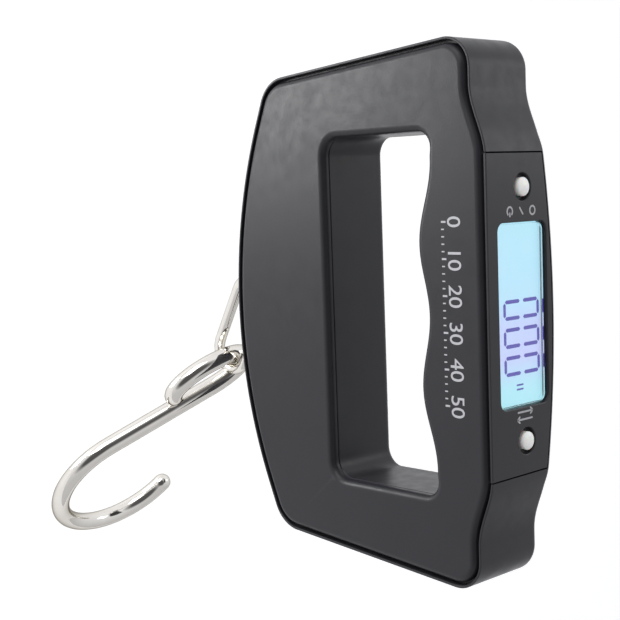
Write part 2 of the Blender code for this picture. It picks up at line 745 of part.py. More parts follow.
def hook():
    """An S-shaped wire hook: long closed eye, straight shank, wide round bend."""
    pin, load, across = hook_frame()
    slant = math.asin((HOOK_EYE_WIDE + HOOK_BEND) / HOOK_SPAN)
    shank = load * math.cos(slant) - across * math.sin(slant)
    beside = load * math.sin(slant) + across * math.cos(slant)
    eye = pin + shank * (HOOK_EYE_LONG - CONTACT)
    bend = eye + load * HOOK_SPAN
    closing_steps, eye_steps, bend_steps = 2, 26, 34
    points = []
    for k in range(closing_steps):
        closing = HOOK_EYE_CLOSING * (1 - k / closing_steps)
        points.append(eye + shank * HOOK_EYE_LONG + beside * closing)
    for k in range(eye_steps + 1):
        a = 2 * math.pi - 1.5 * math.pi * k / eye_steps
        points.append(eye + shank * (HOOK_EYE_LONG * math.cos(a)) + beside * (HOOK_EYE_WIDE * math.sin(a)))
    for k in range(bend_steps + 1):
        a = -math.pi / 2 - slant + HOOK_SWEEP * k / bend_steps
        points.append(bend + (load * math.cos(a) + across * math.sin(a)) * HOOK_BEND)
    return wire("hook", points, HOOK_WIRE, "chrome", 3)


# ---------------------------------------------------------------- batteries and wiring

def battery_bay(side, tag, nub_up):
    """One cell with its spring, its contact plates and its door."""
    x, y = side * BATTERY_X, BATTERY_Y
    low, high = BATTERY_LOW, BATTERY_LOW + BATTERY_LENGTH
    if nub_up:
        foot, up, nub_plate_z, spring_z = low, 1, high + NUB_LENGTH + GAP, low - 3.6
    else:
        foot, up, nub_plate_z, spring_z = high, -1, low - NUB_LENGTH - GAP - 0.4, high + GAP
    turned(f"battery_{tag}", [
        (0.0, BATTERY_LENGTH + NUB_LENGTH), (NUB_RADIUS, BATTERY_LENGTH + NUB_LENGTH),
        (NUB_RADIUS, BATTERY_LENGTH),
        (CELL_RADIUS - 0.4, BATTERY_LENGTH), (CELL_RADIUS, BATTERY_LENGTH - 0.4), (CELL_RADIUS, 0.4),
        (CELL_RADIUS - 0.4, 0.0), (0.0, 0.0)], (x, y, foot), (0, 0, up), "battery_jacket", 28)
    block(f"nub_contact_{tag}", (x - 4, y - 4, nub_plate_z), (x + 4, y + 4, nub_plate_z + 0.4), "zinc_steel")
    turns, steps = 2.6, 30
    coil = []
    for k in range(steps + 1):
        share = k / steps
        a = 2 * math.pi * turns * share
        radius = 2.2 + 1.1 * (share if up < 0 else 1 - share)
        coil.append((x + radius * math.cos(a), y + radius * math.sin(a), spring_z + 0.4 + 2.6 * share))
    wire(f"battery_spring_{tag}", coil, 0.3, "zinc_steel", 2)
    plate_z = spring_z - GAP - 0.4 if up > 0 else spring_z + 3.4 + GAP
    plate_x = x - side * 0.9
    block(f"spring_contact_{tag}", (plate_x - 2.9, y - 4, plate_z), (plate_x + 2.9, y + 4, plate_z + 0.4),
          "zinc_steel")


def wiring():
    """Leads between the batteries and the board, and the load cell's cable."""
    below_board = BOARD_TOP - BOARD_THICK - 1.2
    for side, tag, start in ((-1, "left", -1.0), (1, "right", 1.7)):
        wire(f"battery_lead_{tag}", spline_through([
            (side * 47.0, -2.2, start), (side * 43.4, -2.6, 3.6), (side * 37.0, -2.6, 6.0),
            (side * 30.0, -2.6, below_board)]), 0.6, "lead_insulation", 2)
    wire("series_lead", spline_through([
        (-47.0, -2.4, -49.4), (-44.0, -7.0, -52.0), (-36.0, -7.4, -56.2), (-18.0, -7.4, -59.0),
        (0.0, -7.6, -57.0), (18.0, -7.4, -59.0), (36.0, -7.4, -56.2), (44.0, -7.0, -52.0),
        (47.0, -2.4, -48.6)], 4.0),
        0.6, "lead_insulation", 2)
    wire("load_cell_cable", spline_through([
        (-19.0, -4.2, -40.4), (-28.0, -6.2, -36.6), (-36.0, -6.4, -34.9), (-42.0, -6.4, -34.0),
        (-46.6, -6.3, -29.5), (-49.6, -6.2, -20.0),
        (-49.6, -6.2, -8.0), (-47.0, -6.3, -1.0), (-43.4, -6.3, 3.8), (-37.0, -6.3, 6.0),
        (-22.0, -5.0, below_board - 0.3), (-12.0, -4.6, below_board - 0.3)], 3.5), 0.9, "cable_jacket", 2)


# ---------------------------------------------------------------- assembly

front_cover()
rear_shell()
display_panel()
for door_side, door_tag in ((-1, "left"), (1, "right")):
    battery_door(door_side, door_tag)
for number, (screw_x, screw_z) in enumerate(SCREW_PLACES, 1):
    case_screw(number, screw_x, screw_z)
display_stack()
main_board()
for button_side, button_tag in ((-1, "tare"), (1, "unit")):
    button(button_side, button_tag)
load_cell()
load_eye()
link()
hook()
battery_bay(-1, "left", True)
battery_bay(1, "right", False)
wiring()
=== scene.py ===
import json
import math

import bmesh
import bpy
from mathutils import Matrix, Vector


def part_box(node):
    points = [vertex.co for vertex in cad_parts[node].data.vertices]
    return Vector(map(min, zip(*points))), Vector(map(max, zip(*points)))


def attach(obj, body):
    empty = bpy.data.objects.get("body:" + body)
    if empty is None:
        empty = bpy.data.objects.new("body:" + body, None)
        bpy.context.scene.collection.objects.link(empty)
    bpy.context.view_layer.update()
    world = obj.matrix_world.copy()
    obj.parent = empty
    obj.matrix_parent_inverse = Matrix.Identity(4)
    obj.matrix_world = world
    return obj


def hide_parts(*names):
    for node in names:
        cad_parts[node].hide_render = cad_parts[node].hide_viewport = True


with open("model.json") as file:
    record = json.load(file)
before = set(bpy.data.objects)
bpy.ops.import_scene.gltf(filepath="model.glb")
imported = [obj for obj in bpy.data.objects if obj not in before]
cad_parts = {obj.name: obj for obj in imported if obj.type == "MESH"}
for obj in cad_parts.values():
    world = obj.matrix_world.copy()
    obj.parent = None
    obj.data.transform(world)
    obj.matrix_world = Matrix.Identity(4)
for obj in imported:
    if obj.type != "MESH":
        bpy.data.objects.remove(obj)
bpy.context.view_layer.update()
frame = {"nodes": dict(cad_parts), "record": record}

# Looks of a digital luggage scale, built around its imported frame: metres, +Z up as the
# scale is held, front face towards -Y.  Lengths below are in millimetres until MM turns
# them into metres.
NODES = frame["nodes"]
MM = 0.001

# Camera: a short telephoto view from above the front, turned on its side
CAMERA_PLACE = Vector((-30.93, -231.98, 193.35))
CAMERA_FORWARD = Vector((0.0971, 0.6889, -0.7184))
CAMERA_UP = Vector((-0.9946, 0.0930, -0.0452))
CAMERA_LENS = 75.48
FLOOR_LEVEL = -330.0
ROOM_LEFT = 1.05
ROOM_RIGHT = 0.65
DARK_PATCH = 0.12

# Case outline, as the CAD has it
BOTTOM_ARC_RADIUS = 120.0
SHOULDER = 14.4
SIDE_LOW = (57.0, -48.0)
SIDE_HIGH = (61.6, 6.0)
BOTTOM_REACH = 46.0
CORNER_RADIUS = 9.0
TOP_CORNER_RADIUS = 7.0
BULGE_FLAT = 35.5
BULGE_FOOT = 51.0
TOP_STEPS = 12
REAR_BOW = 3.6
REAR_BOW_HALF = 40.0
BAR_LOW = -5.0
GRIP_HALF = 41.5
GRIP_FLOOR = -31.1
GRIP_CORNER = 4.5
GRIP_UPPER_CORNER = 3.6
WAVE_HALF = 36.0
WAVE_MID = -0.5
WAVE_AMPLITUDE = 1.4
WAVE_PITCH = 34.0
WAVE_RISE = 1.3
WAVE_STEP_UP = 0.6

# Shell build-up, as the CAD has it
GAP = 0.3
WALL = 2.0
COVER_BACK = -8.8
COVER_INSET = 1.3
LIP_FRONT = -10.5
LIP_THICK = 0.6
FRONT_ROUNDING = 1.6
REAR_ROUNDING = 2.2
GUARD = 0.06
FLAT_RING = 0.6
CUT_SHARP = 22.0

# Hook wire, as the CAD has it
LINK_WIRE = 1.5
LINK_END = 5.6
LINK_REACH = 21.8
LINK_TILT = math.radians(60.0)
HOOK_WIRE = 2.5
HOOK_PLANE = math.radians(41.0)
HOOK_LEAN = math.radians(18.0)
HOOK_EYE_LONG = 11.4
HOOK_EYE_WIDE = 5.7
HOOK_EYE_CLOSING = 2.4
HOOK_BEND = 19.4
HOOK_SPAN = 41.4
HOOK_SWEEP = math.radians(220.0)
CONTACT = LINK_WIRE + HOOK_WIRE + 1.5
EYE_RING = 3.9
EYE_WIRE = 1.5
STUD_RADIUS = 2.5
WELL_RADIUS = 6.2

# Panel, buttons and doors, as the CAD has them
PANEL_HALF = 36.0
PANEL_BACK = 9.0
PANEL_STEPS = 40
WINDOW_HALF = 20.7
WINDOW_FRONT = -6.8
WINDOW_BACK = 10.7
WINDOW_CORNER = 2.0
BUTTON_HOLE = 2.4
BUTTON_WELL = 3.05
BUTTON_WELL_DEPTH = 1.2
DOOR_INNER = 44.3
DOOR_LOW = -51.2
DOOR_HIGH = 1.2
BOSS_RADIUS = 3.4
BOSS_MEET = -1.3
SCREW_SEAT = 6.0
SCREW_HOLE = 1.4
SCREW_HEAD_HOLE = 2.6


def box_mm(node):
    """Lowest and highest corner of a CAD node, in millimetres."""
    low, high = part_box(node)
    return low / MM, high / MM


def middle_mm(node):
    low, high = box_mm(node)
    return (low + high) / 2


SHELL_LOW = box_mm("rear_shell")[0]
COVER_LOW = box_mm("front_cover")[0]
PANEL_LOW, PANEL_HIGH = box_mm("display_panel")
CASE_BOTTOM = SHELL_LOW.z
CASE_TOP = PANEL_HIGH.z
COVER_FRONT = COVER_LOW.y
REAR = -COVER_FRONT
SHELL_RIM = COVER_BACK + GAP
CAVITY_BACK = REAR - WALL


# ---------------------------------------------------------------- material helpers

def new_material(name, colour, roughness, metallic=0.0, **sockets):
    made = bpy.data.materials.new(name)
    made.use_nodes = True
    shader = made.node_tree.nodes["Principled BSDF"]
    shader.inputs["Base Color"].default_value = (*colour, 1.0)
    shader.inputs["Roughness"].default_value = roughness
    shader.inputs["Metallic"].default_value = metallic
    for socket, value in sockets.items():
        shader.inputs[socket.replace("_", " ")].default_value = value
    return made


def add_node(tree, kind, **inputs):
    node = tree.nodes.new("ShaderNode" + kind)
    for socket, value in inputs.items():
        node.inputs[socket.replace("_", " ")].default_value = value
    return node


def place_output(tree, stretch=(1.0, 1.0, 1.0)):
    """The piece's own coordinates, in metres, stretched along each axis."""
    coordinates = add_node(tree, "TexCoord")
    mapping = add_node(tree, "Mapping", Scale=stretch)
    tree.links.new(coordinates.outputs["Object"], mapping.inputs["Vector"])
    return mapping.outputs["Vector"]


def noise(tree, size, detail=3.0, stretch=(1.0, 1.0, 1.0)):
    """Noise from 0 to 1 whose blobs are about a size in millimetres across."""
    texture = add_node(tree, "TexNoise", Scale=1.0 / (size * MM), Detail=detail)
    tree.links.new(place_output(tree, stretch), texture.inputs["Vector"])
    return texture.outputs["Fac"]


def spread(tree, value, low, high, start=0.3, end=0.7):
    """Map a value's range from start to end onto low to high."""
    mapped = add_node(tree, "MapRange")
    for socket, number in (("From Min", start), ("From Max", end), ("To Min", low), ("To Max", high)):
        mapped.inputs[socket].default_value = number
    tree.links.new(value, mapped.inputs["Value"])
    return mapped.outputs["Result"]


def blend_colours(tree, share, first, second):
    mix = tree.nodes.new("ShaderNodeMix")
    mix.data_type = "RGBA"
    tree.links.new(share, mix.inputs["Factor"])
    for index, colour in ((6, first), (7, second)):
        if isinstance(colour, bpy.types.NodeSocket):
            tree.links.new(colour, mix.inputs[index])
        else:
            mix.inputs[index].default_value = (*colour, 1.0)
    return mix.outputs[2]


def add_bump(tree, height, depth, strength=1.0):
    """Raise the surface by a height from 0 to 1 times a depth in millimetres."""
    shader = tree.nodes["Principled BSDF"]
    relief = add_node(tree, "Bump", Strength=strength, Distance=depth * MM)
    before = shader.inputs["Normal"].links
    if before:
        tree.links.new(before[0].from_socket, relief.inputs["Normal"])
    tree.links.new(height, relief.inputs["Height"])
    tree.links.new(relief.outputs["Normal"], shader.inputs["Normal"])


def drive(tree, socket, value):
    tree.links.new(value, tree.nodes["Principled BSDF"].inputs[socket])


# ---------------------------------------------------------------- materials

def moulded_plastic(name, colour, worn, roughness, grain=0.35, grain_depth=0.012):
    """Plastic from a spark-textured mould: fine grain, rubbed edges and faint handling."""
    made = new_material(name, colour, roughness, Specular_IOR_Level=0.28)
    tree = made.node_tree
    edge = spread(tree, add_node(tree, "NewGeometry").outputs["Pointiness"], 0.0, 1.0, 0.515, 0.60)
    rubbed = add_node(tree, "Math")
    rubbed.operation = "MULTIPLY"
    tree.links.new(edge, rubbed.inputs[0])
    tree.links.new(spread(tree, noise(tree, 6.0), 0.1, 0.8), rubbed.inputs[1])
    cloudy = blend_colours(tree, noise(tree, 9.0, 4.0), colour, [c * 1.18 for c in colour])
    drive(tree, "Base Color", blend_colours(tree, rubbed.outputs[0], cloudy, worn))
    drive(tree, "Roughness", spread(tree, noise(tree, 3.0, 5.0), roughness - 0.05, roughness + 0.05))
    add_bump(tree, noise(tree, grain, 2.0), grain_depth)
    return made


def polished_chrome():
    made = new_material("polished_chrome", (0.80, 0.78, 0.74), 0.05, 1.0,
                        Specular_Tint=(0.30, 0.28, 0.25, 1.0))
    tree = made.node_tree
    drive(tree, "Base Color", blend_colours(tree, noise(tree, 4.0), (0.84, 0.815, 0.77), (0.74, 0.715, 0.67)))
    drive(tree, "Roughness", spread(tree, noise(tree, 1.6, 6.0), 0.035, 0.11))
    add_bump(tree, noise(tree, 2.2, 2.0), 0.006)
    return made


def plated_steel():
    made = new_material("plated_steel", (0.60, 0.61, 0.62), 0.3, 1.0)
    tree = made.node_tree
    mottled = blend_colours(tree, noise(tree, 0.8, 5.0), (0.64, 0.65, 0.65), (0.50, 0.51, 0.54))
    drive(tree, "Base Color", mottled)
    drive(tree, "Roughness", spread(tree, noise(tree, 0.5, 4.0), 0.22, 0.40))
    add_bump(tree, noise(tree, 0.3, 2.0), 0.01)
    return made


def milled_alloy():
    made = new_material("milled_alloy", (0.66, 0.67, 0.69), 0.34, 1.0, Anisotropic=0.4)
    tree = made.node_tree
    lines = noise(tree, 1.0, 2.0, (1.0, 6.0, 6.0))
    drive(tree, "Base Color", blend_colours(tree, lines, (0.70, 0.71, 0.73), (0.58, 0.59, 0.61)))
    drive(tree, "Roughness", spread(tree, lines, 0.26, 0.44))
    add_bump(tree, lines, 0.01)
    return made


def soft_plain(name, first, second, roughness, size=1.0, depth=0.01, **sockets):
    """A plain moulded, rubber or printed material with a fine cloud of two colours."""
    made = new_material(name, first, roughness, **sockets)
    tree = made.node_tree
    drive(tree, "Base Color", blend_colours(tree, noise(tree, size, 4.0), first, second))
    drive(tree, "Roughness", spread(tree, noise(tree, size * 0.6, 3.0), roughness - 0.05, roughness + 0.06))
    add_bump(tree, noise(tree, size * 0.3, 2.0), depth)
    return made


def clear_window():
    made = new_material("clear_window", (0.96, 0.985, 0.99), 0.02, Transmission_Weight=1.0, IOR=1.45)
    tree = made.node_tree
    drive(tree, "Roughness", spread(tree, noise(tree, 5.0, 5.0), 0.012, 0.035))
    add_bump(tree, noise(tree, 12.0, 1.0), 0.01)
    return made


def lit_display():
    """A backlit liquid crystal cell: cyan at both ends, lavender round the digits."""
    made = new_material("lit_display", (0.10, 0.13, 0.16), 0.25)
    tree = made.node_tree
    split = add_node(tree, "SeparateXYZ")
    tree.links.new(place_output(tree), split.inputs["Vector"])
    low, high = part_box("lcd_glass")
    along = spread(tree, split.outputs["X"], 0.0, 1.0, low.x, high.x)
    ramp = add_node(tree, "ValToRGB")
    stops = ((0.0, (0.44, 0.84, 0.98)), (0.42, (0.47, 0.80, 1.0)), (0.55, (0.56, 0.64, 1.0)),
             (0.72, (0.58, 0.62, 1.0)), (0.88, (0.42, 0.84, 0.96)), (1.0, (0.40, 0.86, 0.94)))
    points = ramp.color_ramp.elements
    while len(points) < len(stops):
        points.new(0.5)
    for point, (place, colour) in zip(points, stops):
        point.position = place
        point.color = (*colour, 1.0)
    tree.links.new(along, ramp.inputs["Fac"])
    cloudy = blend_colours(tree, noise(tree, 5.0, 2.0), ramp.outputs["Color"], (0.62, 0.80, 1.0))
    soft = blend_colours(tree, spread(tree, noise(tree, 7.0, 1.0), 0.0, 0.35), ramp.outputs["Color"], cloudy)
    drive(tree, "Emission Color", soft)
    made.node_tree.nodes["Principled BSDF"].inputs["Emission Strength"].default_value = 0.9
    return made


def printed_ink():
    return soft_plain("printed_ink", (0.44, 0.44, 0.46), (0.36, 0.36, 0.38), 0.5, 0.9, 0.004)


def digit_ink():
    made = soft_plain("digit_ink", (0.010, 0.008, 0.04), (0.014, 0.010, 0.05), 0.4, 0.8, 0.001)
    shader = made.node_tree.nodes["Principled BSDF"]
    shader.inputs["Emission Color"].default_value = (0.050, 0.035, 0.36, 1.0)
    shader.inputs["Emission Strength"].default_value = 1.0
    return made


def board_mask():
    """Green solder mask with copper tracks showing faintly through it."""
    made = new_material("board_mask", (0.02, 0.12, 0.05), 0.35)
    tree = made.node_tree
    tracks = add_node(tree, "TexWave", Scale=1.0 / (6.0 * MM), Distortion=6.0, Detail=1.0)
    tree.links.new(place_output(tree), tracks.inputs["Vector"])
    lines = spread(tree, tracks.outputs["Fac"], 0.0, 1.0, 0.46, 0.54)
    drive(tree, "Base Color", blend_colours(tree, lines, (0.016, 0.11, 0.045), (0.035, 0.19, 0.075)))
    add_bump(tree, lines, 0.03)
    return made


def battery_film():
    """A printed battery sleeve: a dark body and a copper band at its positive end."""
    made = new_material("battery_film", (0.04, 0.09, 0.22), 0.3, 0.35)
    tree = made.node_tree
    split = add_node(tree, "SeparateXYZ")
    tree.links.new(place_output(tree), split.inputs["Vector"])
    low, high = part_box("battery_left")
    band = spread(tree, split.outputs["Z"], 0.0, 1.0, low.z + (high.z - low.z) * 0.70,
                  low.z + (high.z - low.z) * 0.705)
    drive(tree, "Base Color", blend_colours(tree, band, (0.035, 0.075, 0.20), (0.62, 0.33, 0.14)))
    drive(tree, "Roughness", spread(tree, noise(tree, 2.0), 0.22, 0.36))
    return made


SURFACE = {
    "case_plastic": moulded_plastic("case_plastic", (0.017, 0.017, 0.0205), (0.045, 0.045, 0.05), 0.38),
    "panel_plastic": moulded_plastic("panel_plastic", (0.021, 0.021, 0.024), (0.021, 0.021, 0.024),
                                     0.34, 0.25),
    "button_plastic": soft_plain("button_plastic", (0.92, 0.93, 0.90), (0.86, 0.87, 0.84), 0.28, 1.6,
                                 0.006, Subsurface_Weight=0.25, Subsurface_Scale=0.0012),
    "clear_plastic": clear_window(),
    "display_glass": lit_display(),
    "backlight": soft_plain("light_guide", (0.80, 0.88, 0.95), (0.72, 0.82, 0.92), 0.35, 3.0),
    "white_plastic": soft_plain("white_plastic", (0.76, 0.76, 0.73), (0.70, 0.70, 0.67), 0.45),
    "zebra_rubber": soft_plain("zebra_rubber", (0.42, 0.36, 0.38), (0.20, 0.18, 0.19), 0.7, 0.4),
    "board": board_mask(),
    "chip_plastic": soft_plain("chip_plastic", (0.018, 0.018, 0.020), (0.030, 0.030, 0.033), 0.55, 0.3),
    "alloy": milled_alloy(),
    "zinc_steel": plated_steel(),
    "chrome": polished_chrome(),
    "gauge_film": soft_plain("gauge_film", (0.62, 0.38, 0.12), (0.50, 0.28, 0.08), 0.3, 0.5),
    "battery_jacket": battery_film(),
    "lead_insulation": soft_plain("lead_insulation", (0.42, 0.03, 0.02), (0.34, 0.02, 0.015), 0.45),
    "cable_jacket": soft_plain("cable_jacket", (0.24, 0.24, 0.25), (0.18, 0.18, 0.19), 0.55),
}
INK = printed_ink()
DIGIT_INK = digit_ink()


def dress_cad_nodes():
    """Give every carried-over CAD node its slot's material."""
    for row in frame["record"]["subparts"]:
        mesh = NODES[row["node"]].data
        mesh.materials.clear()
        mesh.materials.append(SURFACE[row["material_slot"]])


# ---------------------------------------------------------------- mesh helpers

def add_mesh(name, build, material, smooth_angle=35.0):
    """A piece whose mesh the build function makes, in millimetres."""
    mesh = bpy.data.meshes.new(name)
    work = bmesh.new()
    build(work)
    bmesh.ops.recalc_face_normals(work, faces=work.faces)
    bmesh.ops.scale(work, vec=(MM, MM, MM), verts=work.verts)
    work.to_mesh(mesh)
    work.free()
    mesh.shade_smooth()
    mesh.set_sharp_from_angle(angle=math.radians(smooth_angle))
    if material:
        mesh.materials.append(material)
    item = bpy.data.objects.new(name, mesh)
    bpy.context.scene.collection.objects.link(item)
    return item


def add_block(work, low, high):
    low, high = Vector(low), Vector(high)
    made = bmesh.ops.create_cube(work, size=1.0)["verts"]
    bmesh.ops.scale(work, vec=high - low, verts=made)
    bmesh.ops.translate(work, vec=(low + high) / 2, verts=made)
    return made


def cutter_block(low, high):
    return add_mesh("cutter", lambda work: add_block(work, low, high), None)


def rod_between(radius, start, end, sides=48, tip_radius=None):
    """A cutter or a plain shaft from one point to another."""
    start, end = Vector(start), Vector(end)
    axis = end - start

    def build(work):
        made = bmesh.ops.create_cone(
            work, cap_ends=True, segments=sides, radius1=radius,
            radius2=radius if tip_radius is None else tip_radius, depth=axis.length)["verts"]
        turn = axis.to_track_quat("Z", "Y").to_matrix()
        bmesh.ops.rotate(work, cent=(0, 0, 0), matrix=turn, verts=made)
        bmesh.ops.translate(work, vec=(start + end) / 2, verts=made)

    return add_mesh("cutter", build, None)


def apply_modifiers(item):
    """Freeze an object's modifiers into its mesh."""
    graph = bpy.context.evaluated_depsgraph_get()
    old = item.data
    item.data = bpy.data.meshes.new_from_object(item.evaluated_get(graph))
    item.modifiers.clear()
    bpy.data.meshes.remove(old)


def combine(item, others, operation):
    """Cut, join or intersect with helper objects, which are used up."""
    for other in others:
        change = item.modifiers.new("change", "BOOLEAN")
        change.operation = operation
        change.solver = "EXACT"
        change.object = other
    bpy.context.view_layer.update()
    apply_modifiers(item)
    for other in others:
        bpy.data.objects.remove(other, do_unlink=True)
    item.data.shade_smooth()
    item.data.set_sharp_from_angle(angle=math.radians(CUT_SHARP))
    return item


def cut(item, *cutters):
    return combine(item, cutters, "DIFFERENCE")


def finish_piece(item, body, replaces=()):
    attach(item, body)
    if replaces:
        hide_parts(*replaces)
    return item


# ---------------------------------------------------------------- outlines, seen from the front

def rounded(corners, segments):
    """Replace each (x, z, radius) corner of a closed loop by an arc; radius 0 keeps the point."""
    loop = []
    count = len(corners)
    for i, (x, z, radius) in enumerate(corners):
        here = Vector((x, z))
        if not radius:
            loop.append(here)
            continue
        before = (Vector(corners[i - 1][:2]) - here).normalized()
        after = (Vector(corners[(i + 1) % count][:2]) - here).normalized()
        half = before.angle(after) / 2
        setback = radius / math.tan(half)
        centre = here + (before + after).normalized() * (radius / math.sin(half))
        start = here + before * setback - centre
        turn = start.angle_signed(here + after * setback - centre)
        for k in range(segments + 1):
            arm = start.copy()
            arm.rotate(Matrix.Rotation(-turn * k / segments, 2))
            loop.append(centre + arm)
    return loop


def offset(loop, distance):
    """Move an anticlockwise loop outwards by a distance, or inwards if it is negative."""
    moved = []
    count = len(loop)
    for i, here in enumerate(loop):
        back = (here - loop[i - 1]).normalized()
        ahead = (loop[(i + 1) % count] - here).normalized()
        normal_a = Vector((back.y, -back.x))
        middle = (normal_a + Vector((ahead.y, -ahead.x))).normalized()
        moved.append(here + middle * (distance / middle.dot(normal_a)))
    return moved


def bottom_edge(x):
    return CASE_BOTTOM + BOTTOM_ARC_RADIUS - math.sqrt(BOTTOM_ARC_RADIUS ** 2 - x * x)


def case_outline():
    """The front outline, anticlockwise from the middle of the bowed hook-side edge."""
    steps, rise = 40, 32
    half = [(BOTTOM_REACH * k / steps, bottom_edge(BOTTOM_REACH * k / steps), 0.0)
            for k in range(1, steps + 1)]
    slope = BOTTOM_REACH / math.sqrt(BOTTOM_ARC_RADIUS ** 2 - BOTTOM_REACH ** 2)
    lean = (SIDE_HIGH[0] - SIDE_LOW[0]) / (SIDE_HIGH[1] - SIDE_LOW[1])
    start = bottom_edge(BOTTOM_REACH)
    corner_z = (start + slope * (SIDE_LOW[0] - lean * SIDE_LOW[1] - BOTTOM_REACH)) / (1 - slope * lean)
    half.append((SIDE_LOW[0] + lean * (corner_z - SIDE_LOW[1]), corner_z, CORNER_RADIUS))
    half.append((*SIDE_HIGH, 0.0))
    half.append((SIDE_HIGH[0] + lean * (SHOULDER - SIDE_HIGH[1]), SHOULDER, TOP_CORNER_RADIUS))
    for k in range(rise + 1):
        share = k / rise
        ease = share * share * (3 - 2 * share)
        half.append((BULGE_FOOT + (BULGE_FLAT - BULGE_FOOT) * share,
                     SHOULDER + (CASE_TOP - SHOULDER) * ease, 0.0))
    half += [(BULGE_FLAT * (1 - k / TOP_STEPS), CASE_TOP, 0.0) for k in range(1, TOP_STEPS)]
    mirrored = [(-x, z, radius) for x, z, radius in reversed(half)]
    return rounded([(0.0, CASE_BOTTOM, 0.0), *half, (0.0, CASE_TOP, 0.0), *mirrored], 20)


def finger_edge(x):
    wave = WAVE_AMPLITUDE * math.cos(2 * math.pi * x / WAVE_PITCH)
    return WAVE_MID + wave + WAVE_RISE * (x / WAVE_HALF) ** 2


def grip_outline():
    """The hand opening, anticlockwise from its lower left corner."""
    steps = 120
    corner_z = finger_edge(WAVE_HALF) + WAVE_STEP_UP
    corners = [(-GRIP_HALF, GRIP_FLOOR, GRIP_CORNER), (GRIP_HALF, GRIP_FLOOR, GRIP_CORNER),
               (GRIP_HALF, corner_z, GRIP_UPPER_CORNER)]
    for k in range(steps + 1):
        x = WAVE_HALF - 2 * WAVE_HALF * k / steps
        corners.append((x, finger_edge(x), 0.0))
    corners.append((-GRIP_HALF, corner_z, GRIP_UPPER_CORNER))
    return rounded(corners, 16)


CASE_LOOP = case_outline()
GRIP_LOOP = grip_outline()


def quarter_round(radius, inset, depth, towards, steps=8):
    """A quarter circle from the side wall to a flat face, as (inset, depth) points.

    The last points are two guard rings inside the flat face, so that the face shades flat.
    """
    arc = []
    for k in range(steps + 1):
        a = math.pi / 2 * k / steps
        arc.append((inset + radius * (1 - math.cos(a)), depth - towards * radius * (1 - math.sin(a))))
    arc.append((inset + radius + GUARD, depth))
    arc.append((inset + radius + FLAT_RING, depth))
    return arc


def profiled(name, material, parts, level=False):
    """A closed body between two flat faces, from one or more loops and their side profiles.

    Each part is (loop, profile, sign), and a profile is a list of (inset, depth) points from
    one flat face to the other, where an inset times the sign moves the loop.  An upright body
    has its loops in X and Z and its depth along Y, a level one in X and Y, and along Z.
    """
    def build(work):
        ends = [[], []]
        for loop, profile, sign in parts:
            rings = []
            for inset, depth in profile:
                moved = offset(loop, sign * inset)
                rings.append([work.verts.new((p.x, p.y, depth) if level else (p.x, depth, p.y))
                              for p in moved])
            count = len(loop)
            for low, high in zip(rings, rings[1:]):
                for i in range(count):
                    k = (i + 1) % count
                    work.faces.new((low[i], low[k], high[k], high[i]))
            for end, ring in zip(ends, (rings[0], rings[-1])):
                end.extend(work.edges.get((ring[i], ring[(i + 1) % count])) for i in range(count))
        for edges in ends:
            bmesh.ops.triangle_fill(work, use_beauty=True, use_dissolve=False, edges=edges)

    return add_mesh(name, build, material)


def rear_bow(x):
    """How far the rear of the display bar stands out behind the rest of the case."""
    return REAR_BOW * max(0.0, 1.0 - (x / REAR_BOW_HALF) ** 2)


def bow_rear(item):
    """Bow out the rear of an upright body along the display bar."""
    for vertex in item.data.vertices:
        x, y, z = vertex.co / MM
        if y > REAR / 2 and z > BAR_LOW:
            vertex.co.y = (y + rear_bow(x)) * MM


def panel_loop(growth, front):
    """The display panel's outline from above: its rear edge follows the bowed rear."""
    half = PANEL_HALF + growth
    loop = [Vector((-half, front)), Vector((half, front))]
    for k in range(PANEL_STEPS + 1):
        x = half - 2 * half * k / PANEL_STEPS
        loop.append(Vector((x, PANEL_BACK + growth + rear_bow(x))))
    return loop


def circle(radius, x=0.0, y=0.0, sides=64):
    return [Vector((x + radius * math.cos(a), y + radius * math.sin(a)))
            for a in (2 * math.pi * k / sides for k in range(sides))]


# ---------------------------------------------------------------- case

def fine_cover():
    """The front plate with its soft edges, inside the shell's lip."""
    outer = [(COVER_INSET + 1.0, COVER_BACK), (COVER_INSET, COVER_BACK)]
    outer += quarter_round(FRONT_ROUNDING, COVER_INSET, COVER_FRONT, -1)
    grip = [(1.0, COVER_BACK), (0.0, COVER_BACK)]
    grip += quarter_round(FRONT_ROUNDING, 0.0, COVER_FRONT, -1)
    cover = profiled("front_cover_fine", SURFACE["case_plastic"],
                     [(CASE_LOOP, outer, -1), (GRIP_LOOP, grip, 1)])
    return finish_piece(cover, "case", ["front_cover"])


def door_block(side, clearance):
    """A cutter for the space of one battery door, grown by a clearance."""
    under = CAVITY_BACK + GAP - 0.1
    inner, outer = sorted((side * (DOOR_INNER - clearance), side * 70.0))
    return cutter_block((inner, under - clearance, DOOR_LOW - clearance),
                        (outer, REAR + 5.0, DOOR_HIGH + clearance))


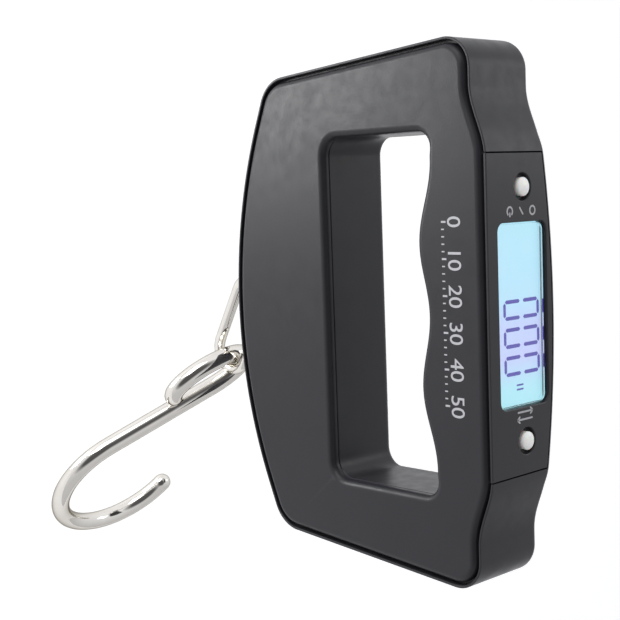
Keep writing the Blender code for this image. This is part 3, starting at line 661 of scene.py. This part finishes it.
def fine_shell():
    """The rear tray: lip, rim, cavity, soft rear edges, bosses, door openings and eye well."""
    inside = [(WALL + GUARD, CAVITY_BACK), (WALL, CAVITY_BACK), (WALL, SHELL_RIM)]
    outer = inside + [(LIP_THICK, SHELL_RIM), (LIP_THICK, LIP_FRONT + 0.15),
                      (LIP_THICK - 0.15, LIP_FRONT), (0.2, LIP_FRONT), (0.06, LIP_FRONT + 0.06),
                      (0.0, LIP_FRONT + 0.2)]
    outer += quarter_round(REAR_ROUNDING, 0.0, REAR, 1)
    grip = inside + [(0.15, SHELL_RIM), (0.0, SHELL_RIM + 0.15)]
    grip += quarter_round(REAR_ROUNDING, 0.0, REAR, 1)
    shell = profiled("rear_shell_fine", SURFACE["case_plastic"],
                     [(CASE_LOOP, outer, -1), (GRIP_LOOP, grip, 1)])
    bow_rear(shell)
    cut(shell,
        profiled("cutter", None, [(panel_loop(GAP, LIP_FRONT - 1),
                                   [(0.0, PANEL_LOW.z - 0.8), (0.0, CASE_TOP + 2)], -1)], True),
        rod_between(WELL_RADIUS, (0, 0, CASE_BOTTOM - 2), (0, 0, CASE_BOTTOM + 6)),
        door_block(-1, GAP), door_block(1, GAP))
    screws = [middle_mm(f"case_screw_{i}") for i in range(1, 5)]
    combine(shell, [rod_between(BOSS_RADIUS, (s.x, BOSS_MEET + GAP, s.z), (s.x, CAVITY_BACK + 0.5, s.z))
                    for s in screws], "UNION")
    cut(shell, *[rod_between(SCREW_HOLE, (s.x, BOSS_MEET - 2, s.z), (s.x, REAR + 2, s.z), 32)
                 for s in screws])
    cut(shell, *[rod_between(SCREW_HEAD_HOLE, (s.x, SCREW_SEAT, s.z), (s.x, REAR + 2, s.z))
                 for s in screws])
    return finish_piece(shell, "case", ["rear_shell"])


def fine_door(side, tag):
    """A flush door with thumb grooves, cut from the case's own outer form."""
    outer = [(0.0, 5.0)] + quarter_round(REAR_ROUNDING, 0.0, REAR, 1)
    name = f"battery_door_{tag}"
    door = profiled(name + "_fine", SURFACE["case_plastic"], [(CASE_LOOP, outer, -1)])
    combine(door, [door_block(side, 0.0)], "INTERSECT")
    grooves = []
    for k in range(3):
        z = (DOOR_LOW + DOOR_HIGH) / 2 + (k - 1) * 2.4
        near, far = sorted((side * 47.5, side * 54.0))
        grooves.append(cutter_block((near, REAR - 0.5, z - 0.5), (far, REAR + 1, z + 0.5)))
    cut(door, *grooves)
    return finish_piece(door, name, [name])


def fine_screw(index):
    """A sunk pan-head screw with a cross recess and a fine thread."""
    name = f"case_screw_{index}"
    low, high = box_mm(name)
    x, z = (low.x + high.x) / 2, (low.z + high.z) / 2
    head, neck = (high.x - low.x) / 2, 1.05
    seat = high.y - 1.5
    profile = [(head - 0.3, low.y), (head - 0.5, low.y + 0.2)]
    pitch, crest = 0.8, 0.18
    y = low.y + 1.2
    while y < seat - 1.4:
        profile += [(head - neck, y), (head - neck + crest, y + pitch / 2)]
        y += pitch
    profile += [(head - neck, seat - 0.6), (head - neck, seat), (0.0, seat), (0.0, seat + 0.8)]
    profile += [(0.15, high.y - 0.35), (0.6, high.y - 0.08), (head - 0.6, high.y)]
    screw = profiled(name + "_fine", SURFACE["zinc_steel"], [(circle(head, x, z, 40), profile, -1)])
    cut(screw, *[cutter_block((x - wide, high.y - 0.9, z - deep), (x + wide, high.y + 1, z + deep))
                 for wide, deep in ((1.3, 0.3), (0.3, 1.3))])
    return finish_piece(screw, "case", [name])


# ---------------------------------------------------------------- display and buttons

def window_loop(inset):
    """The rounded outline of the display window, seen from above."""
    x, front, back = WINDOW_HALF - inset, WINDOW_FRONT + inset, WINDOW_BACK - inset
    corner = WINDOW_CORNER - inset
    return rounded([(-x, front, corner), (x, front, corner), (x, back, corner), (-x, back, corner)], 12)


def soft_hole(loop, floor, top, chamfer=0.25):
    """A cutter for a hole in the panel whose upper rim is softened."""
    return profiled("cutter", None, [(loop, [(0.0, floor), (0.0, top - chamfer), (-0.08, top - 0.08),
                                             (-chamfer, top), (-chamfer - 0.4, top + 0.4)], -1)], True)


def fine_panel():
    """The insert of the top face: softened window, dished button wells and their holes."""
    low, high = PANEL_LOW.z, PANEL_HIGH.z
    edge = [(0.2, low), (0.0, low + 0.2), (0.0, high - 0.2), (0.06, high - 0.06), (0.2, high),
            (FLAT_RING, high)]
    panel = profiled("display_panel_fine", SURFACE["panel_plastic"],
                     [(panel_loop(0.0, LIP_FRONT), edge, -1)], True)
    cut(panel, cutter_block((PANEL_LOW.x - 1, PANEL_LOW.y - 1, PANEL_LOW.z - 1),
                            (PANEL_HIGH.x + 1, SHELL_RIM, CASE_TOP - LIP_THICK)))
    cut(panel, soft_hole(window_loop(0.0), PANEL_LOW.z - 1, CASE_TOP))
    for tag in ("tare", "unit"):
        here = middle_mm(f"{tag}_button")
        cut(panel, soft_hole(circle(BUTTON_WELL, here.x, here.y), CASE_TOP - BUTTON_WELL_DEPTH, CASE_TOP))
        cut(panel, soft_hole(circle(BUTTON_HOLE, here.x, here.y), PANEL_LOW.z - 1,
                             CASE_TOP - BUTTON_WELL_DEPTH + 0.3, 0.1))
    return finish_piece(panel, "case", ["display_panel"])


def fine_window():
    low, high = box_mm("display_window")
    rim = 0.12
    window = profiled("display_window_fine", SURFACE["clear_plastic"], [
        (window_loop(GAP), [(rim, low.z), (0.0, low.z + rim), (0.0, high.z - rim), (rim, high.z)], -1)],
        True)
    return finish_piece(window, "case", ["display_window"])


def fine_button(tag):
    """A domed round button over its wide flange."""
    name = f"{tag}_button"
    low, high = box_mm(name)
    here = (low + high) / 2
    flange = (high.x - low.x) / 2
    radius = 2.1
    flange_top = low.z + 1.0
    skirt = flange - radius
    profile = [(0.1, low.z), (0.0, low.z + 0.1), (0.0, flange_top - 0.1), (0.1, flange_top),
               (skirt, flange_top), (skirt, high.z - 0.75)]
    for k in range(1, 9):
        a = math.pi / 2 * k / 8
        profile.append((skirt + radius * (1 - math.cos(a)) * 0.97, high.z - 0.75 + 0.75 * math.sin(a)))
    button = profiled(name + "_fine", SURFACE["button_plastic"],
                      [(circle(flange, here.x, here.y), profile, -1)], True)
    return finish_piece(button, name, [name])


# Seven-segment digits: height lies across the window, width along it
DIGIT_HEIGHT = 12.2
DIGIT_WIDTH = 3.7
DIGIT_STROKE = 0.85
DIGIT_PITCH = 6.3
DIGIT_FIRST = -1.2
DIGIT_COUNT = 3
DIGIT_MIDDLE_Y = 3.3
SEGMENT_GAP = 0.2
MIDDLE_GAP = 0.6


def add_bar(work, start, end, width, low, high):
    """A flat bar with pointed ends, as in a seven-segment digit, between two (x, y) points."""
    start, end = Vector(start), Vector(end)
    along = (end - start).normalized()
    across = Vector((-along.y, along.x)) * (width / 2)
    tip = along * (width / 2)
    corners = [start, start + tip + across, end - tip + across, end, end - tip - across,
               start + tip - across]
    lower = [work.verts.new((c.x, c.y, low)) for c in corners]
    upper = [work.verts.new((c.x, c.y, high)) for c in corners]
    work.faces.new(lower)
    work.faces.new(upper)
    for i in range(len(corners)):
        k = (i + 1) % len(corners)
        work.faces.new((lower[i], lower[k], upper[k], upper[i]))


def fine_digits():
    """Three seven-segment zeros on the glass."""
    top = box_mm("lcd_glass")[1].z
    ink_low, ink_high = top + 0.02, top + 0.06
    centre_y = DIGIT_MIDDLE_Y

    def build(work):
        for k in range(DIGIT_COUNT):
            x = DIGIT_FIRST + DIGIT_PITCH * k
            left, right = x - DIGIT_WIDTH / 2, x + DIGIT_WIDTH / 2
            near, far = centre_y - DIGIT_HEIGHT / 2, centre_y + DIGIT_HEIGHT / 2
            g = SEGMENT_GAP
            for y in (near, far):
                add_bar(work, (left + g, y), (right - g, y), DIGIT_STROKE, ink_low, ink_high)
            for side in (left, right):
                add_bar(work, (side, near + g), (side, centre_y - MIDDLE_GAP), DIGIT_STROKE, ink_low, ink_high)
                add_bar(work, (side, centre_y + MIDDLE_GAP), (side, far - g), DIGIT_STROKE, ink_low, ink_high)
        x = DIGIT_FIRST + DIGIT_PITCH * DIGIT_COUNT - 1.75
        for shift in (0.0, 1.0):
            add_bar(work, (x + shift, centre_y - 2.3), (x + shift, centre_y + 0.3), 0.4,
                    ink_low, ink_high)

    digits = add_mesh("display_digits", build, DIGIT_INK)
    return finish_piece(digits, "case")


# ---------------------------------------------------------------- printing

PRINT_HALF = 20.6
PRINT_MIDDLE = -0.75
PRINT_STEPS = 5
PRINT_FOOT = 5.8
CAPTION_Y = 1.6
NUMBER_HEIGHT = 5.3
MARK_APART = 4.1
MARKS_AWAY = 5.3
ARROWS_AWAY = 5.9
PRINT_THICK = 0.03


def text_shape(body, size, x, z):
    """Digits as a flat mesh on the front face, centred on a point."""
    curve = bpy.data.curves.new("print", "FONT")
    curve.body = body
    curve.size = size * MM
    curve.align_x = "CENTER"
    curve.extrude = PRINT_THICK / 2 * MM
    curve.offset = size * 0.004 * MM
    item = bpy.data.objects.new("print", curve)
    bpy.context.scene.collection.objects.link(item)
    item.rotation_euler = (math.pi / 2, 0.0, 0.0)
    item.location = Vector((x, COVER_FRONT - PRINT_THICK / 2, z)) * MM
    bpy.context.view_layer.update()
    graph = bpy.context.evaluated_depsgraph_get()
    mesh = bpy.data.meshes.new_from_object(item.evaluated_get(graph))
    mesh.transform(item.matrix_world)
    bpy.data.objects.remove(item, do_unlink=True)
    return mesh


def front_print():
    """A plain numbered tick scale along the display bar."""
    def build(work):
        for k in range(PRINT_STEPS * 5 + 1):
            x = PRINT_MIDDLE - PRINT_HALF + 2 * PRINT_HALF * k / (PRINT_STEPS * 5)
            tall = 1.3 if k % 5 == 0 else 0.8
            half = 0.22 if k % 5 == 0 else 0.15
            add_block(work, (x - half, COVER_FRONT - PRINT_THICK, PRINT_FOOT),
                      (x + half, COVER_FRONT, PRINT_FOOT + tall))
        bmesh.ops.scale(work, vec=(MM, MM, MM), verts=work.verts)
        for k in range(PRINT_STEPS + 1):
            x = PRINT_MIDDLE - PRINT_HALF + 2 * PRINT_HALF * k / PRINT_STEPS
            work.from_mesh(text_shape(str(10 * k), NUMBER_HEIGHT, x, PRINT_FOOT + 1.8))
        bmesh.ops.scale(work, vec=(1 / MM, 1 / MM, 1 / MM), verts=work.verts)

    return finish_piece(add_mesh("front_scale_print", build, INK), "case")


def add_arc(work, centre, radius, width, start, end, low, high, steps=20):
    """A flat curved stroke about a centre, from one angle to another."""
    rows = []
    for k in range(steps + 1):
        a = start + (end - start) * k / steps
        out = Vector((math.cos(a), math.sin(a)))
        rows.append([work.verts.new((centre.x + out.x * r, centre.y + out.y * r, z))
                     for r, z in ((radius - width / 2, low), (radius + width / 2, low),
                                  (radius + width / 2, high), (radius - width / 2, high))])
    for first, second in zip(rows, rows[1:]):
        for i in range(4):
            k = (i + 1) % 4
            work.faces.new((first[i], first[k], second[k], second[i]))
    work.faces.new(rows[0])
    work.faces.new(rows[-1])


def panel_print():
    """A power mark and a zero mark by one button, two arrows by the other."""
    low, high = CASE_TOP, CASE_TOP + PRINT_THICK
    stroke = 0.42

    def arrow(work, x, y, way):
        add_bar(work, (x, y - way * 2.8), (x, y + way * 2.8), stroke, low, high)
        for side in (-1, 1):
            add_bar(work, (x + side * 0.8, y + way * 1.8), (x, y + way * 2.85), stroke, low, high)

    def build(work):
        x = middle_mm("tare_button").x + MARKS_AWAY
        add_arc(work, Vector((x, CAPTION_Y - MARK_APART)), 0.95, stroke, math.radians(35), math.radians(325),
                low, high)
        add_bar(work, (x + 0.15, CAPTION_Y - MARK_APART), (x + 1.35, CAPTION_Y - MARK_APART),
                stroke, low, high)
        add_bar(work, (x - 0.9, CAPTION_Y - 0.7), (x + 0.9, CAPTION_Y + 0.7), stroke, low, high)
        add_arc(work, Vector((x, CAPTION_Y + MARK_APART)), 0.95, stroke, 0.0, math.radians(359),
                low, high, 32)
        for shift, way in ((-0.85, 1), (0.85, -1)):
            arrow(work, middle_mm("unit_button").x - ARROWS_AWAY + shift, CAPTION_Y, way)

    return finish_piece(add_mesh("panel_print", build, INK), "case")


# ---------------------------------------------------------------- eye, link and hook

def wire_piece(name, points, radius, cyclic=False, rounded_ends=False):
    """A round wire through points, as a mesh; its ends can be rounded off."""
    curve = bpy.data.curves.new(name, "CURVE")
    curve.dimensions = "3D"
    curve.bevel_depth = radius * MM
    curve.bevel_resolution = 8
    curve.use_fill_caps = not cyclic
    line = curve.splines.new("POLY")
    widths = [1.0] * len(points)
    if rounded_ends:
        points, widths = round_off(points, radius)
    line.points.add(len(points) - 1)
    for point, place, width in zip(line.points, points, widths):
        point.co = (*(place * MM), 1.0)
        point.radius = width
    line.use_cyclic_u = cyclic
    item = bpy.data.objects.new(name, curve)
    bpy.context.scene.collection.objects.link(item)
    bpy.context.view_layer.update()
    graph = bpy.context.evaluated_depsgraph_get()
    mesh = bpy.data.meshes.new_from_object(item.evaluated_get(graph))
    bpy.data.objects.remove(item, do_unlink=True)
    work = bmesh.new()
    work.from_mesh(mesh)
    bmesh.ops.remove_doubles(work, verts=work.verts, dist=0.000001)
    bmesh.ops.recalc_face_normals(work, faces=work.faces)
    work.to_mesh(mesh)
    work.free()
    mesh.shade_smooth()
    mesh.materials.clear()
    mesh.materials.append(SURFACE["chrome"])
    piece = bpy.data.objects.new(name, mesh)
    bpy.context.scene.collection.objects.link(piece)
    return piece


def round_off(points, radius, steps=10):
    """Add a dome to both ends of a wire: more points, whose widths shrink to almost nothing."""
    domes = []
    for end, before in ((points[0], points[1]), (points[-1], points[-2])):
        out = (end - before).normalized()
        dome = []
        for k in range(1, steps + 1):
            a = math.pi / 2 * k / steps
            dome.append((end + out * (radius * (math.sin(a) - 1)), max(math.cos(a), 0.02)))
        domes.append(dome)
    body = [p for p in points if (p - points[0]).length >= radius and (p - points[-1]).length >= radius]
    head, tail = domes
    placed = [p for p, _ in reversed(head)] + body + [p for p, _ in tail]
    widths = [w for _, w in reversed(head)] + [1.0] * len(body) + [w for _, w in tail]
    return placed, widths


def link_frame():
    """Centre of the link's upper end arc, its direction of hang and the width direction."""
    ring_low = box_mm("load_eye")[0].z
    centre = Vector((0.0, 0.0, ring_low + EYE_RING + EYE_WIRE - LINK_END))
    hang = Vector((math.sin(LINK_TILT), 0.0, -math.cos(LINK_TILT)))
    wide = Vector((math.cos(LINK_TILT), 0.0, math.sin(LINK_TILT)))
    return centre, hang, wide


def fine_eye():
    """A forged ring with a stud that leads up into the case."""
    low, high = box_mm("load_eye")
    centre = Vector((0.0, 0.0, low.z + EYE_RING + EYE_WIRE))
    ring = [centre + Vector((0.0, math.cos(a), math.sin(a))) * EYE_RING
            for a in (2 * math.pi * k / 72 for k in range(72))]
    eye = wire_piece("load_eye_fine", ring, EYE_WIRE, cyclic=True)
    stud = rod_between(STUD_RADIUS, (0, 0, centre.z + EYE_RING - 0.3), (0, 0, high.z))
    collar = rod_between(STUD_RADIUS, (0, 0, centre.z + EYE_RING + 2.2), (0, 0, centre.z + EYE_RING - 1.2),
                         tip_radius=EYE_WIRE + 0.2)
    combine(eye, [stud, collar], "UNION")
    return finish_piece(eye, "load_eye", ["load_eye"])


def fine_link():
    centre, hang, wide = link_frame()
    straight = LINK_REACH - LINK_END
    steps = 40
    points = []
    for foot, way in ((Vector(), 1), (hang * straight, -1)):
        for k in range(steps + 1):
            a = math.pi * k / steps
            points.append(centre + foot + (wide * math.cos(a) - hang * math.sin(a)) * (LINK_END * way))
    return finish_piece(wire_piece("link_fine", points, LINK_WIRE, cyclic=True), "link", ["link"])


def fine_hook():
    """An S-shaped hook: long closed eye, straight shank, wide round bend."""
    centre, hang, _ = link_frame()
    pin = centre + hang * LINK_REACH
    normal = Vector((math.sin(HOOK_PLANE), 0.0, math.cos(HOOK_PLANE)))
    down = Vector((math.cos(HOOK_PLANE), 0.0, -math.sin(HOOK_PLANE)))
    load = down * math.cos(HOOK_LEAN) - Vector((0, 1, 0)) * math.sin(HOOK_LEAN)
    across = normal.cross(load)
    across = across if across.y > 0 else -across
    slant = math.asin((HOOK_EYE_WIDE + HOOK_BEND) / HOOK_SPAN)
    shank = load * math.cos(slant) - across * math.sin(slant)
    beside = load * math.sin(slant) + across * math.cos(slant)
    eye = pin + shank * (HOOK_EYE_LONG - CONTACT)
    points = [eye + shank * HOOK_EYE_LONG + beside * (HOOK_EYE_CLOSING * k / 3) for k in (3, 2, 1)]
    eye_steps, bend_steps = 90, 110
    for k in range(eye_steps + 1):
        a = 2 * math.pi - 1.5 * math.pi * k / eye_steps
        points.append(eye + shank * (HOOK_EYE_LONG * math.cos(a)) + beside * (HOOK_EYE_WIDE * math.sin(a)))
    bend = eye + load * HOOK_SPAN
    for k in range(bend_steps + 1):
        a = -math.pi / 2 - slant + HOOK_SWEEP * k / bend_steps
        points.append(bend + (load * math.cos(a) + across * math.sin(a)) * HOOK_BEND)
    return finish_piece(wire_piece("hook_fine", points, HOOK_WIRE, rounded_ends=True),
                        "hook", ["hook"])


dress_cad_nodes()
fine_cover()
fine_shell()
for door_side, door_tag in ((-1, "left"), (1, "right")):
    fine_door(door_side, door_tag)
for screw_index in range(1, 5):
    fine_screw(screw_index)
fine_panel()
fine_window()
fine_button("tare")
fine_button("unit")
fine_digits()
front_print()
panel_print()
fine_eye()
fine_link()
fine_hook()


# ---------------------------------------------------------------- stage, light and camera

def make_camera():
    data = bpy.data.cameras.new("camera")
    data.lens = CAMERA_LENS
    data.sensor_width = 36.0
    data.clip_start = 0.01
    camera = bpy.data.objects.new("camera", data)
    bpy.context.scene.collection.objects.link(camera)
    forward = CAMERA_FORWARD.normalized()
    side = forward.cross(CAMERA_UP).normalized()
    turn = Matrix((side, side.cross(forward), -forward)).transposed()
    camera.matrix_world = Matrix.Translation(CAMERA_PLACE * MM) @ turn.to_4x4()
    bpy.context.scene.camera = camera


def make_floor():
    size = 3000.0

    def build(work):
        corners = [work.verts.new((x * size, y * size, FLOOR_LEVEL))
                   for x, y in ((-1, -1), (1, -1), (1, 1), (-1, 1))]
        work.faces.new(corners)

    pale = new_material("pale_floor", (0.92, 0.92, 0.92), 0.8)
    shader = pale.node_tree.nodes["Principled BSDF"]
    shader.inputs["Emission Color"].default_value = (1.0, 1.0, 1.0, 1.0)
    shader.inputs["Emission Strength"].default_value = 0.36
    add_mesh("floor", build, pale)


def soft_light(name, place, aim, size, power):
    data = bpy.data.lights.new(name, "AREA")
    data.shape = "RECTANGLE"
    data.size, data.size_y = (side * MM for side in size)
    data.energy = power
    lamp = bpy.data.objects.new(name, data)
    lamp.visible_camera = False
    lamp.location = Vector(place) * MM
    lamp.rotation_euler = (Vector(aim) - Vector(place)).to_track_quat("-Z", "Y").to_euler()
    bpy.context.scene.collection.objects.link(lamp)


def make_world():
    """A bright room, dimmer towards +X, with a dark patch behind the photographer."""
    world = bpy.data.worlds.new("studio")
    bpy.context.scene.world = world
    world.use_nodes = True
    tree = world.node_tree
    background = tree.nodes["Background"]
    background.inputs["Color"].default_value = (0.97, 0.975, 1.0, 1.0)
    direction = add_node(tree, "TexCoord").outputs["Generated"]
    split = add_node(tree, "SeparateXYZ")
    tree.links.new(direction, split.inputs["Vector"])
    facing = add_node(tree, "VectorMath")
    facing.operation = "DOT_PRODUCT"
    tree.links.new(direction, facing.inputs[0])
    facing.inputs[1].default_value = -CAMERA_FORWARD
    patch = spread(tree, facing.outputs["Value"], 1.0, DARK_PATCH, math.cos(math.radians(42)),
                   math.cos(math.radians(24)))
    sides = spread(tree, split.outputs["X"], ROOM_LEFT, ROOM_RIGHT, -0.8, 0.8)
    strength = add_node(tree, "Math")
    strength.operation = "MULTIPLY"
    tree.links.new(patch, strength.inputs[0])
    tree.links.new(sides, strength.inputs[1])
    tree.links.new(strength.outputs[0], background.inputs["Strength"])


bpy.context.scene.view_settings.view_transform = "Standard"
make_camera()
make_floor()
make_world()
soft_light("key", (-420, -420, 60), (0, 0, -20), (360, 360), 1.2)
soft_light("sheen", (-100, -190, -240), (-50, -11, -50), (120, 120), 0.5)
soft_light("top_sheen", (-110, 240, 210), (-55, 0, 15), (140, 140), 0.12)
